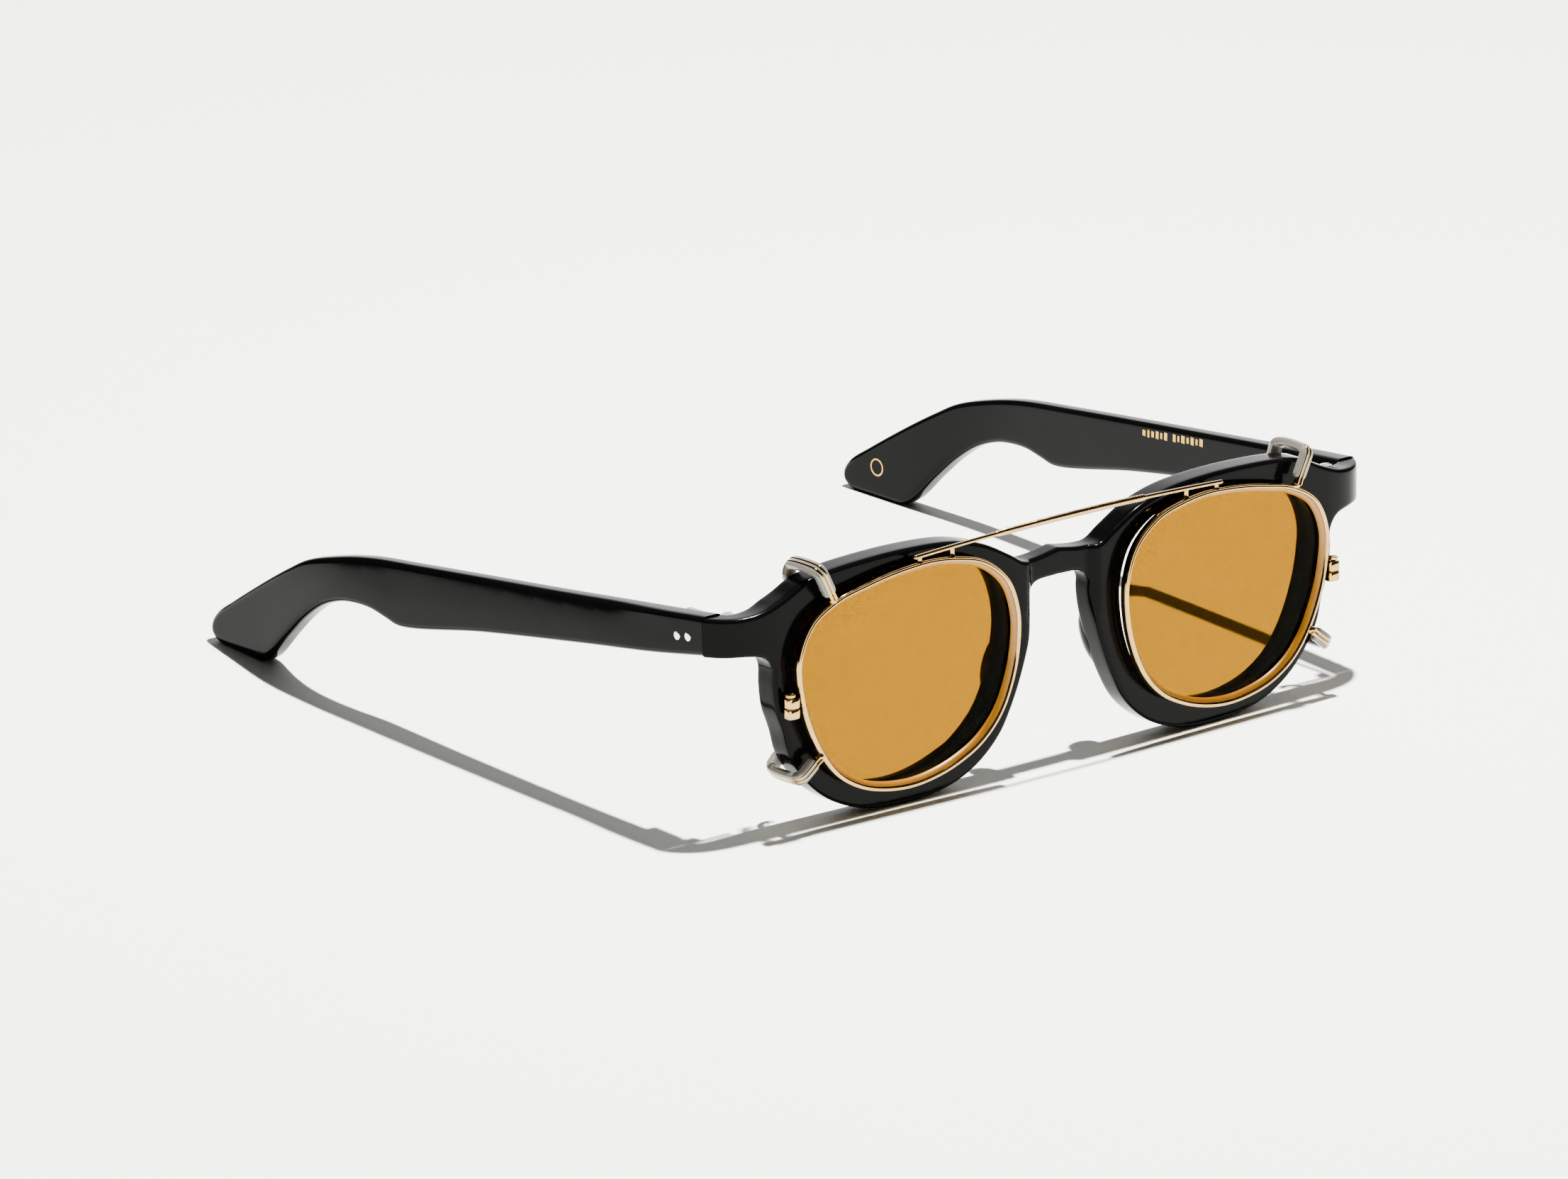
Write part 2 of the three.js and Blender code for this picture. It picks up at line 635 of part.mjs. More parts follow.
const front = toTable(buildFront());
front.computeBoundingBox();
add('frame_front', front, 'acetate');
addPair('nose_pad', buildNosePad(), 'acetate');
addPair('clear_lens', buildClearLens(), 'clear');
addPair('hinge_front', buildHingeFront(), 'gold');
addPair('hinge_screw', buildHingeScrew(), 'steel');
addPair('temple', buildTemple(front.boundingBox.min.z), 'acetate', false);
addPair('temple_core', buildCore(), 'steel', false);
addPair('hinge_temple', buildHingeTemple(), 'gold');
addPair('temple_rivet_front', buildRivet(rivetPlaces[0]), 'gold', false);
addPair('temple_rivet_rear', buildRivet(rivetPlaces[1]), 'gold', false);
addPair('clip_rim', buildRim(), 'gold');
addPair('clip_lens', buildClipLens(), 'amber');
add('clip_bar', toTable(buildBar()), 'gold');
addPair('bar_foot_outer', buildFoot(-2.3, 17.95), 'gold');
addPair('bar_foot_inner', buildFoot(-9.3, 17.55), 'gold');
addPair('claw_upper', buildClaw(upperClaw), 'gold');
addPair('claw_lower', buildClaw(lowerClaw), 'gold');
addPair('claw_sleeve_upper', buildSleeve(upperClaw), 'silicone');
addPair('claw_sleeve_lower', buildSleeve(lowerClaw), 'silicone');
addPair('closing_block_upper', buildBlock(true), 'gold');
addPair('closing_block_lower', buildBlock(false), 'gold');
addPair('block_screw', buildBlockScrew(), 'steel');

// origin at the bottom centre of the whole thing
const extent = new THREE.Box3().setFromObject(group);
for (const mesh of group.children) {
  mesh.geometry.translate(
    -(extent.min.x + extent.max.x) / 2, -(extent.min.y + extent.max.y) / 2, -extent.min.z);
}

export default group;
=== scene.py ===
"""Black acetate spectacles with a gold clip-on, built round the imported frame."""

import math

import bmesh
import bpy
import numpy as np
from mathutils import Matrix, Vector
from mathutils.geometry import delaunay_2d_cdt


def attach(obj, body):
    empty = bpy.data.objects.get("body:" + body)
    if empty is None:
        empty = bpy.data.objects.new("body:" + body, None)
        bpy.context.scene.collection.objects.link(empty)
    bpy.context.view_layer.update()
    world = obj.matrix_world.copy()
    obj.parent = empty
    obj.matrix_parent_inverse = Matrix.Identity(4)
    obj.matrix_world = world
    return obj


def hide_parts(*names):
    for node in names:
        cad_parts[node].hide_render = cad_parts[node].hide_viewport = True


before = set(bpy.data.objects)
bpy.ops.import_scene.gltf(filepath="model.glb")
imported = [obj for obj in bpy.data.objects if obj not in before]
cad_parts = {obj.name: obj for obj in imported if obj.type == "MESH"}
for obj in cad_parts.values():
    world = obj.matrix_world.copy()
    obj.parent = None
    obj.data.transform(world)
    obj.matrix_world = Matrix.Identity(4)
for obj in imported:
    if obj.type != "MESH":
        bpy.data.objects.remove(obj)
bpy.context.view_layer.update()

# ---- sizes, in millimetres, as in the frame ----
MM = 0.001
HALF_SPACING = 35.5          # lens centre from the middle
CENTRE_HEIGHT = 23.6         # lens centres above the table
LEAN_BACK = math.radians(2.06)
LENS_WRAP = math.radians(1.65)  # each lens plane turned about the vertical
ROW_SHIFT = np.array([0.0, -70.6166, 0.2293])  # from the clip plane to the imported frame
FRONT_FACE = 1.7             # acetate behind the clip plane, at the lens centre
FRONT_THICK = 5.0
FRONT_BEND = 0.0004          # plan curve of the front, per mm
FRONT_EDGE = 0.75            # rounding of the front's outline
BRIDGE_SETBACK = 1.2
JOINT_DEPTH = 8.6            # where the temple meets the front
EYE_EASE = 0.03              # acetate hole outside the clip's opening
EYE_LIP = 0.6                # how far the hole's outer side draws in
EYE_FRONT_EDGE = 0.06
EYE_BACK_EDGE = 0.6
GROOVE_DEPTH = 0.85          # for the clear lens
GROOVE_HALF = 0.9
GROOVE_MOUTH_HALF = 0.95
PAD_HALF = (2.0, 2.6, 5.7)
PAD_ACROSS = 10.9            # from the middle of the bridge
PAD_LEVEL = -4.8             # from the lens centres
TEMPLE_THICK = 4.45
TEMPLE_THINNING = 0.5        # lost from the inner face towards the tip
TEMPLE_THINNING_RUN = 80
TEMPLE_EDGE = 1.15
TEMPLE_CROWN = 1.0           # how far the outer face falls away at its top
RIM_BAND = 0.9
LENS_FRONT = 0.46            # the tinted lens sits at the back of its rim
LENS_THIN = 0.32
BAR_HALF = 34.6
BAR_MID_HALF = 16.6
BAR_LEVEL = 20.8             # bar at its middle, above the lens centres
BAR_DROP = 1.0               # how far its ends sit below that
BAR_RIPPLE = 0.035
BAR_RIPPLE_PITCH = 0.62
CLAW_CLEAR = 2.0             # wire centre line past the acetate's edge
CLAW_BEHIND = 1.25           # and behind its back
WIRE_APART = 0.39            # the two wires of a claw, from its centre line
WIRE_PROUD = 0.52            # and towards the outside of its bend
BLOCK_LEVEL = -1.4           # split of the closing block
BLOCK_HALF = (1.2, 1.05)     # across, and front to back
BLOCK_ROUNDING = 3.2
FOIL_START = 46.0
FOIL_LEVEL = 31.8
FOIL_SLOPE = 0.135
FOIL_SPACE = 0.55
FOIL_PROUD = 0.06
CREASE = 32                  # degrees above which an edge stays sharp
LOOSE_CREASE = 50
SIDES = (("left", 1.0), ("right", -1.0))

# outlines are curves through these points; the eye is drawn about its lens centre, x outwards
EYE = [
    (22.7, 0), (23.1, 6.2), (20.5, 11.8), (15.2, 15), (9.5, 16.4), (4.5, 17.3), (0, 17.8),
    (-4.8, 18), (-10.1, 17.4), (-15.8, 15.8), (-20.6, 11.9), (-22.8, 6.1), (-22.7, 0),
    (-21.3, -5.7), (-18.8, -10.8), (-14.8, -14.8), (-10, -17.3), (-5, -18.8), (0, -19.4),
    (5.1, -19), (10.3, -17.6), (15, -14.8), (18.5, -10.7), (21.1, -5.5),
]
# half of the acetate outline from the bridge top to the joint, then from the joint to the bridge
FRONT_TOP = [
    (0, 14.2), (5.5, 13.4), (8.4, 13.6), (11.5, 15.4), (17.3, 18.4), (24.1, 20.2), (33.9, 20.9),
    (44.1, 20.7), (51.2, 20.1), (55.6, 19.2), (60, 17.1), (64.7, 15.4), (68.2, 14.9),
    (73.2, 14.85),
]
FRONT_UNDER = [
    (73.2, 8.1), (71, 8.05), (67.4, 8.0), (64.2, 7.3), (62.6, 5.3), (62.5, 2), (62, -1.9),
    (60.4, -6.6), (59.2, -10.8), (56.6, -14.8), (53.3, -18.2), (49.1, -20.9), (43.8, -22.8),
    (35.7, -23.6), (26.7, -23), (19.9, -20.5), (14.5, -16.1), (11.3, -10.9), (8.5, -4),
    (6.9, 2), (6.5, 5.5), (6.5, 7.4), (5.2, 9), (0, 9.5),
]
# the endpiece in plan: outer face, and the inner face across from it
ENDPIECE = [
    ((65.5, 3.2), (64.5, 7.72)), ((68.2, 4.0), (66.3, 7.8)), ((70.3, 5.2), (67.5, 8.0)),
    ((71.9, 6.7), (68.2, 8.25)), ((73.2, 8.6), (68.75, 8.6)),
]
# the temple from the side: distance back from the clip plane, height
TEMPLE_TOP = [
    (8.9, 38.45), (28.9, 35.9), (46.9, 33.5), (65.3, 31.1), (84, 28.6), (97.3, 26.7),
    (106.2, 24.6), (114.1, 22.0), (119.5, 19.1), (126.4, 15.0), (136.4, 8.6), (141.3, 5.2),
    (142.8, 3.0), (142.7, 1.3), (141.3, 0.1),
]
TEMPLE_UNDER = [
    (139.2, -0.4), (128.6, -0.4), (125.4, 1.0), (119.5, 6.7), (114.1, 11.6), (108.8, 15.2),
    (103.8, 17.2), (100.2, 17.9), (95.4, 18.1), (90.9, 17.4), (87.6, 16.9), (65.3, 21.5),
    (37.8, 26.4), (21.9, 29.0), (8.9, 31.5),
]
# outer face of the temple in plan: distance back, distance out
TEMPLE_PLAN = [
    (2, 72.8), (9, 73.2), (29, 74.4), (47, 75.1), (65, 75.6), (88, 76.1), (106, 76.2),
    (128, 74.8), (150, 73.6),
]


# ---- curves ----
def catmull(points, closed=False, per=24):
    """Centripetal Catmull-Rom through the points, as a dense line."""
    p = np.array(points, float)
    if closed:
        p = np.vstack([p[-1], p, p[0], p[1]])
    else:
        p = np.vstack([2 * p[0] - p[1], p, 2 * p[-1] - p[-2]])
    line = []
    for a, b, c, d in zip(p, p[1:], p[2:], p[3:]):
        ta = 0.0
        tb = ta + math.sqrt(np.linalg.norm(b - a))
        tc = tb + math.sqrt(np.linalg.norm(c - b))
        td = tc + math.sqrt(np.linalg.norm(d - c))
        t = np.linspace(tb, tc, per, endpoint=False)[:, None]
        ab = (tb - t) / (tb - ta) * a + (t - ta) / (tb - ta) * b
        bc = (tc - t) / (tc - tb) * b + (t - tb) / (tc - tb) * c
        cd = (td - t) / (td - tc) * c + (t - tc) / (td - tc) * d
        ac = (tc - t) / (tc - ta) * ab + (t - ta) / (tc - ta) * bc
        bd = (td - t) / (td - tb) * bc + (t - tb) / (td - tb) * cd
        line.append((tc - t) / (tc - tb) * ac + (t - tb) / (tc - tb) * bd)
    line = np.vstack(line)
    return line if closed else np.vstack([line, p[-2]])


def resample(line, count, closed=False):
    """The line again with evenly spaced points."""
    full = np.vstack([line, line[:1]]) if closed else line
    along = np.r_[0, np.cumsum(np.linalg.norm(np.diff(full, axis=0), axis=1))]
    want = np.linspace(0, along[-1], count, endpoint=not closed)
    return np.stack([np.interp(want, along, full[:, i]) for i in range(full.shape[1])], 1)


def grow(loop, distance):
    """An anticlockwise loop moved outwards."""
    along = np.roll(loop, -1, 0) - np.roll(loop, 1, 0)
    along /= np.linalg.norm(along, axis=1)[:, None]
    return loop + distance * np.stack([along[:, 1], -along[:, 0]], 1)


def anticlockwise(loop):
    """The loop, turned round if it runs clockwise."""
    x, y = loop[:, 0], loop[:, 1]
    area = np.sum(x * np.roll(y, -1) - np.roll(x, -1) * y)
    return loop if area > 0 else loop[::-1]


def inside(points, loop):
    """Which points lie within the loop."""
    x, y = points[:, :1], points[:, 1:]
    ax, ay = loop[:, 0][None], loop[:, 1][None]
    bx, by = np.roll(ax, -1, 1), np.roll(ay, -1, 1)
    crosses = (ay > y) != (by > y)
    with np.errstate(divide="ignore", invalid="ignore"):
        where = (bx - ax) * (y - ay) / (by - ay) + ax
    return (np.sum(crosses & (x < where), axis=1) % 2) == 1


def far_from(points, loop, distance):
    """Which points keep the distance from every point of the loop."""
    keep = np.ones(len(points), bool)
    for start in range(0, len(points), 400):
        part = points[start:start + 400]
        gaps = np.linalg.norm(part[:, None] - loop[None], axis=2)
        keep[start:start + 400] = gaps.min(1) > distance
    return keep


# ---- meshes ----
def to_row(points):
    """From the front's own axes, in millimetres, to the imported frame, in metres."""
    x, y, z = np.asarray(points, float).T
    c, s = math.cos(LEAN_BACK), math.sin(LEAN_BACK)
    leaned = np.stack([x, y * c + z * s, -y * s + z * c + CENTRE_HEIGHT], 1)
    return (leaned + ROW_SHIFT) * MM


def table_to_row(points):
    """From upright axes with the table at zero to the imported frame, in metres."""
    return (np.asarray(points, float) + ROW_SHIFT) * MM


def piece(name, points, faces, material, body, stands_for=(), side=1.0,
          crease=CREASE):
    """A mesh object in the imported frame, on its body."""
    points = np.array(points, float)
    points[:, 0] *= side
    mesh = bpy.data.meshes.new(name)
    mesh.from_pydata(points.tolist(), [], [list(f) for f in faces])
    bm = bmesh.new()
    bm.from_mesh(mesh)
    bmesh.ops.remove_doubles(bm, verts=bm.verts, dist=1e-7)
    bmesh.ops.recalc_face_normals(bm, faces=bm.faces)
    bm.to_mesh(mesh)
    bm.free()
    mesh.polygons.foreach_set("use_smooth", [True] * len(mesh.polygons))
    mesh.set_sharp_from_angle(angle=math.radians(crease))
    mesh.materials.append(material)
    obj = bpy.data.objects.new(name, mesh)
    bpy.context.scene.collection.objects.link(obj)
    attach(obj, body)
    if stands_for:
        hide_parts(*stands_for)
    return obj


def round_levels(thick, front_radius, back_radius, steps=6):
    """Depths through a plate, close together where its edges are rounded."""
    front = [front_radius * (1 - math.cos(math.pi / 2 * k / steps)) for k in range(steps + 1)]
    back = [thick - back_radius * (1 - math.cos(math.pi / 2 * k / steps))
            for k in range(steps, -1, -1)]
    return front + back


def inset(depth, thick, front_radius, back_radius):
    """How far a rounded edge has drawn in at a depth."""
    if depth < front_radius:
        return front_radius - math.sqrt(max(0, front_radius**2 - (front_radius - depth)**2))
    if thick - depth < back_radius:
        rest = thick - depth
        return back_radius - math.sqrt(max(0, back_radius**2 - (back_radius - rest)**2))
    return 0.0


def cap(loops, spacing):
    """Triangles that fill the first loop less the others, with inner points of their own."""
    low, high = loops[0].min(0), loops[0].max(0)
    xs = np.arange(low[0], high[0], spacing)
    zs = np.arange(low[1], high[1], spacing * 0.866)
    grid = np.array([(x + (i % 2) * spacing / 2, z) for i, z in enumerate(zs) for x in xs])
    keep = inside(grid, loops[0])
    for hole in loops[1:]:
        keep &= ~inside(grid, hole)
    grid = grid[keep]
    for loop in loops:
        grid = grid[far_from(grid, loop, spacing * 0.55)]
    flat = np.vstack(loops + [grid])
    edges = []
    start = 0
    for loop in loops:
        count = len(loop)
        edges += [(start + i, start + (i + 1) % count) for i in range(count)]
        start += count
    made = delaunay_2d_cdt([Vector(p) for p in flat], edges, [], 0, 1e-7)
    where = np.array([list(v) for v in made[0]])
    source = [old[0] for old in made[3]]
    middles = np.array([where[list(t)].mean(0) for t in made[2]])
    keep = inside(middles, loops[0])
    for hole in loops[1:]:
        keep &= ~inside(middles, hole)
    faces = [[source[i] for i in t] for t, k in zip(made[2], keep) if k]
    return flat, faces


def drawn_in(line, distance):
    """A clockwise run moved inwards, straight up or down at its two ends."""
    along = np.gradient(line, axis=0)
    along[0, 1] = along[-1, 1] = 0
    along /= np.linalg.norm(along, axis=1)[:, None]
    return line - distance * np.stack([-along[:, 1], along[:, 0]], 1)


def plate(loops_at, levels, place, spacing):
    """A plate whose loops change with depth. place(points, depth) gives each point's place."""
    rings = [loops_at(depth) for depth in levels]
    front, front_faces = cap(rings[0], spacing)
    back, back_faces = cap(rings[-1], spacing)
    points = [place(front, levels[0])]
    faces = [list(f) for f in front_faces]
    offset = len(front)
    total = sum(len(r) for r in rings[0])
    previous = 0
    for ring, depth in zip(rings[1:-1], levels[1:-1]):
        points.append(place(np.vstack(ring), depth))
        faces += walls(ring, previous, offset)
        previous = offset
        offset += total
    points.append(place(back, levels[-1]))
    faces += walls(rings[-1], previous, offset)
    faces += [[i + offset for i in f] for f in back_faces]
    return np.vstack(points), faces


def walls(ring, a, b):
    """Quads between two rings of loops whose points start at a and at b."""
    faces = []
    start = 0
    for loop in ring:
        count = len(loop)
        for i in range(count):
            j = (i + 1) % count
            faces.append((a + start + i, a + start + j, b + start + j, b + start + i))
        start += count
    return faces


def sweep(sections, closed=False):
    """Joins equal rings of points one after another; open ends are filled."""
    count = len(sections[0])
    faces = []
    rings = len(sections)
    for i in range(rings if closed else rings - 1):
        a = i * count
        b = ((i + 1) % rings) * count
        for j in range(count):
            k = (j + 1) % count
            faces.append((a + j, a + k, b + k, b + j))
    if not closed:
        faces.append(tuple(range(count - 1, -1, -1)))
        last = (rings - 1) * count
        faces.append(tuple(range(last, last + count)))
    return np.vstack(sections), faces


def squared_ring(count, power):
    """Cosines and sines round a ring, more square as power goes above 2."""
    a = np.linspace(0, 2 * np.pi, count, endpoint=False)
    c = np.sign(np.cos(a)) * np.abs(np.cos(a)) ** (2 / power)
    s = np.sign(np.sin(a)) * np.abs(np.sin(a)) ** (2 / power)
    return c, s


def tube(path, width, height, across, count=20, power=2.0):
    """A tube along a path. across is its fixed sideways direction; sizes are half sizes."""
    path = np.asarray(path, float)
    tangent = np.gradient(path, axis=0)
    tangent /= np.linalg.norm(tangent, axis=1)[:, None]
    across = np.asarray(across, float)
    c, s = squared_ring(count, power)
    sections = []
    for i, (p, t) in enumerate(zip(path, tangent)):
        w = width[i] if np.ndim(width) else width
        h = height[i] if np.ndim(height) else height
        side = across - t * (across @ t)
        side /= np.linalg.norm(side)
        up = np.cross(side, t)
        sections.append(p + w * c[:, None] * side + h * s[:, None] * up)
    return sweep(sections)


def ball(centre, radii, rings=14, count=24):
    """An ellipsoid, with its two poles just cut off."""
    pole = 0.06
    turn = np.linspace(0, 2 * np.pi, count, endpoint=False)
    points, faces = sweep([
        np.stack([math.sin(a) * np.cos(turn), math.sin(a) * np.sin(turn),
                  np.full(count, math.cos(a))], 1)
        for a in np.linspace(pole, math.pi - pole, rings)])
    return points * np.array(radii) + np.array(centre), faces


def merged(*shapes):
    """Several shapes as the points and faces of one."""
    points = []
    faces = []
    offset = 0
    for p, f in shapes:
        points.append(p)
        faces += [tuple(i + offset for i in face) for face in f]
        offset += len(p)
    return np.vstack(points), faces


def refined(node, material, body, bevel):
    """A copy of a CAD piece with its edges softened."""
    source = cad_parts[node]
    obj = bpy.data.objects.new(node + "_fine", source.data.copy())
    bpy.context.scene.collection.objects.link(obj)
    bm = bmesh.new()
    bm.from_mesh(obj.data)
    bmesh.ops.remove_doubles(bm, verts=bm.verts, dist=1e-7)
    bmesh.ops.dissolve_limit(
        bm, angle_limit=math.radians(2), verts=bm.verts, edges=bm.edges, delimit=set())
    sharp = [e for e in bm.edges if len(e.link_faces) == 2 and e.calc_face_angle(0) > 0.5]
    bmesh.ops.bevel(
        bm, geom=sharp, offset=bevel * MM, segments=3, profile=0.5, affect="EDGES",
        clamp_overlap=True)
    bmesh.ops.triangulate(bm, faces=[f for f in bm.faces if len(f.verts) > 4])
    bm.to_mesh(obj.data)
    bm.free()
    obj.data.materials.clear()
    obj.data.materials.append(material)
    obj.data.polygons.foreach_set("use_smooth", [True] * len(obj.data.polygons))
    obj.data.set_sharp_from_angle(angle=math.radians(CREASE))
    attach(obj, body)
    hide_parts(node)
    return obj


# ---- materials ----
def new_material(name):
    material = bpy.data.materials.new(name)
    material.use_nodes = True
    nodes = material.node_tree.nodes
    return material, nodes, material.node_tree.links, nodes["Principled BSDF"]


def noise(nodes, links, scale, detail=3.0, stretch=(1, 1, 1)):
    place = nodes.new("ShaderNodeTexCoord")
    mapping = nodes.new("ShaderNodeMapping")
    mapping.inputs["Scale"].default_value = stretch
    texture = nodes.new("ShaderNodeTexNoise")
    texture.inputs["Scale"].default_value = scale
    texture.inputs["Detail"].default_value = detail
    links.new(place.outputs["Object"], mapping.inputs["Vector"])
    links.new(mapping.outputs["Vector"], texture.inputs["Vector"])
    return texture.outputs["Fac"]


def remap(nodes, links, source, low, high):
    node = nodes.new("ShaderNodeMapRange")
    node.inputs["From Min"].default_value = 0.3
    node.inputs["From Max"].default_value = 0.7
    node.inputs["To Min"].default_value = low
    node.inputs["To Max"].default_value = high
    links.new(source, node.inputs["Value"])
    return node.outputs["Result"]


def bump(nodes, links, source, shader, strength, distance):
    node = nodes.new("ShaderNodeBump")
    node.inputs["Strength"].default_value = strength
    node.inputs["Distance"].default_value = distance
    links.new(source, node.inputs["Height"])
    links.new(node.outputs["Normal"], shader.inputs["Normal"])


def tinted(nodes, links, source, low, high):
    ramp = nodes.new("ShaderNodeValToRGB")
    ramp.color_ramp.elements[0].position = 0.3
    ramp.color_ramp.elements[0].color = (*low, 1)
    ramp.color_ramp.elements[1].position = 0.7
    ramp.color_ramp.elements[1].color = (*high, 1)
    links.new(source, ramp.inputs["Fac"])
    return ramp.outputs["Color"]


def acetate_material():
    material, nodes, links, shader = new_material("acetate")
    cloud = noise(nodes, links, 60)
    links.new(tinted(nodes, links, cloud, (0.0010, 0.0010, 0.0011), (0.0018, 0.0018, 0.0019)),
              shader.inputs["Base Color"])
    links.new(remap(nodes, links, noise(nodes, links, 300), 0.10, 0.15),
              shader.inputs["Roughness"])
    shader.inputs["Specular IOR Level"].default_value = 0.036
    bump(nodes, links, noise(nodes, links, 90, 2.0), shader, 0.12, 0.0002)
    return material


def gold_material(name, low, high, rough, grain):
    material, nodes, links, shader = new_material(name)
    shader.inputs["Metallic"].default_value = 1.0
    cloud = noise(nodes, links, 400, 4.0)
    links.new(tinted(nodes, links, cloud, low, high), shader.inputs["Base Color"])
    links.new(remap(nodes, links, noise(nodes, links, 900), rough, rough + 0.08),
              shader.inputs["Roughness"])
    bump(nodes, links, noise(nodes, links, grain, 3.0), shader, 0.15, 0.00004)
    return material


def clear_material(name, colour, through, rough, ior, passes=1.0):
    """A see-through material; shadow rays meet a plain tinted window in its place."""
    material, nodes, links, shader = new_material(name)
    shader.inputs["Transmission Weight"].default_value = passes
    shader.inputs["IOR"].default_value = ior
    if rough:
        links.new(remap(nodes, links, noise(nodes, links, 120), rough, rough + 0.02),
                  shader.inputs["Roughness"])
    else:
        shader.inputs["Roughness"].default_value = 0.0
    links.new(tinted(nodes, links, noise(nodes, links, 25),
                     colour, [0.985 * c for c in colour]), shader.inputs["Base Color"])
    window = nodes.new("ShaderNodeBsdfTransparent")
    window.inputs["Color"].default_value = (*through, 1)
    path = nodes.new("ShaderNodeLightPath")
    mix = nodes.new("ShaderNodeMixShader")
    links.new(path.outputs["Is Shadow Ray"], mix.inputs["Fac"])
    links.new(shader.outputs["BSDF"], mix.inputs[1])
    links.new(window.outputs["BSDF"], mix.inputs[2])
    links.new(mix.outputs["Shader"], nodes["Material Output"].inputs["Surface"])
    return material


def matt_material(name, low, high, scale, rough):
    material, nodes, links, shader = new_material(name)
    links.new(tinted(nodes, links, noise(nodes, links, scale), low, high),
              shader.inputs["Base Color"])
    shader.inputs["Roughness"].default_value = rough
    return material, shader


acetate = acetate_material()
gold = gold_material("gold", (0.37, 0.225, 0.075), (0.47, 0.295, 0.105), 0.05, 700)
steel = gold_material("steel", (0.62, 0.61, 0.60), (0.76, 0.75, 0.73), 0.18, 900)
amber = clear_material("amber", (0.161, 0.067, 0.0016), (0.92, 0.86, 0.74), 0.0, 1.05)
clear = clear_material("clear", (0.97, 0.98, 0.98), (0.98, 0.98, 0.98), 0.0, 1.05)
silicone = clear_material("silicone", (0.17, 0.16, 0.135), (0.6, 0.6, 0.6), 0.03, 1.5, 0.35)
lens_edge, _ = matt_material(
    "lens_edge", (0.26, 0.10, 0.0004), (0.34, 0.14, 0.0008), 200, 0.35)
foil = gold_material("foil", (0.40, 0.22, 0.03), (0.52, 0.31, 0.06), 0.3, 1500)


# ---- acetate front ----
def face_depth(x):
    """The front face of the acetate behind the clip plane."""
    return FRONT_FACE + FRONT_BEND * (x * x - HALF_SPACING**2)


plan_x = np.linspace(0, 62, 63)
plan_outer = np.vstack([
    np.stack([plan_x, face_depth(plan_x)], 1), [p for p, _ in ENDPIECE]])
plan_inner = np.vstack([
    np.stack([plan_x, face_depth(plan_x) + FRONT_THICK], 1), [p for _, p in ENDPIECE]])
plan_pair = catmull(np.hstack([plan_outer, plan_inner]), per=6)
plan_along = np.r_[0, np.cumsum(np.linalg.norm(np.diff(plan_pair[:, :2], axis=0), axis=1))]


def unrolled(points):
    """Outline points with x measured along the curved front face."""
    p = np.array(points, float)
    return np.stack([np.interp(p[:, 0], plan_pair[:, 0], plan_along), p[:, 1]], 1)


def smooth_step(x, low, high):
    """0 up to low and 1 from high, with an even ease between."""
    t = np.clip((x - low) / (high - low), 0, 1)
    return t * t * (3 - 2 * t)


def place_front(points, depth):
    """Wraps flat outline points round the plan curve, sunk back at the bridge."""
    s = np.abs(points[:, 0])
    xo, yo, xi, yi = [np.interp(s, plan_along, plan_pair[:, i]) for i in range(4)]
    sunk = BRIDGE_SETBACK * (1 - smooth_step(s, 6.3, 7.9)) / FRONT_THICK
    t = sunk + (1 - sunk) * depth / FRONT_THICK
    x = (xo + (xi - xo) * t) * np.sign(points[:, 0])
    return to_row(np.stack([x, yo + (yi - yo) * t, points[:, 1]], 1))


def eye_loop(side, offset, lip, count=200):
    """One eye hole. lip draws its outer side in, so the clip's rim covers it."""
    loop = grow(anticlockwise(resample(catmull(EYE, True), count, True)), offset)
    loop[:, 0] -= lip * smooth_step(loop[:, 0], 3, 21)
    x = HALF_SPACING + loop[:, 0] * math.cos(LENS_WRAP)
    return anticlockwise(np.stack([side * x, loop[:, 1]], 1))


front_top = resample(catmull(unrolled(FRONT_TOP)), 170)
front_under = resample(catmull(unrolled(FRONT_UNDER)), 240)


def front_outline(distance):
    """The whole outline of the front, drawn in by a distance."""
    top = drawn_in(front_top, distance)
    under = drawn_in(front_under, distance)
    end = resample(np.array([top[-1], under[0]]), 14)[1:-1]
    half = np.vstack([top, end, under])
    other = half[1:-1][::-1] * [-1, 1]
    return anticlockwise(np.vstack([half, other]))


def build_front():
    middle = FRONT_THICK / 2
    groove = [middle - GROOVE_MOUTH_HALF, middle - GROOVE_HALF,
              middle + GROOVE_HALF, middle + GROOVE_MOUTH_HALF]
    levels = sorted(round_levels(FRONT_THICK, FRONT_EDGE, FRONT_EDGE) + groove)

    def at_eye(depth):
        if abs(depth - middle) < (GROOVE_HALF + GROOVE_MOUTH_HALF) / 2:
            return GROOVE_DEPTH, 0.0
        return inset(depth, FRONT_THICK, EYE_FRONT_EDGE, EYE_BACK_EDGE), EYE_LIP

    def loops_at(depth):
        drawn, lip = at_eye(depth)
        return [front_outline(inset(depth, FRONT_THICK, FRONT_EDGE, FRONT_EDGE)),
                eye_loop(1, EYE_EASE + drawn, lip), eye_loop(-1, EYE_EASE + drawn, lip)]

    points, faces = plate(loops_at, levels, place_front, 0.8)
    piece("front", points, faces, acetate, "frame", ["frame_front"])


def build_pads():
    for name, side in SIDES:
        points, faces = ball((0, 0, 0), PAD_HALF, 28, 40)
        turn = Matrix.Rotation(math.radians(-21), 3, "Y") @ Matrix.Rotation(
            math.radians(-24), 3, "Z")
        points = points @ np.array(turn).T
        points += (PAD_ACROSS, face_depth(PAD_ACROSS) + FRONT_THICK + 0.1, PAD_LEVEL)
        piece(f"pad_{name}", to_row(points), faces, acetate, "frame",
              [f"nose_pad_{name}"], side)


# ---- temples ----
temple_line = catmull(TEMPLE_PLAN)


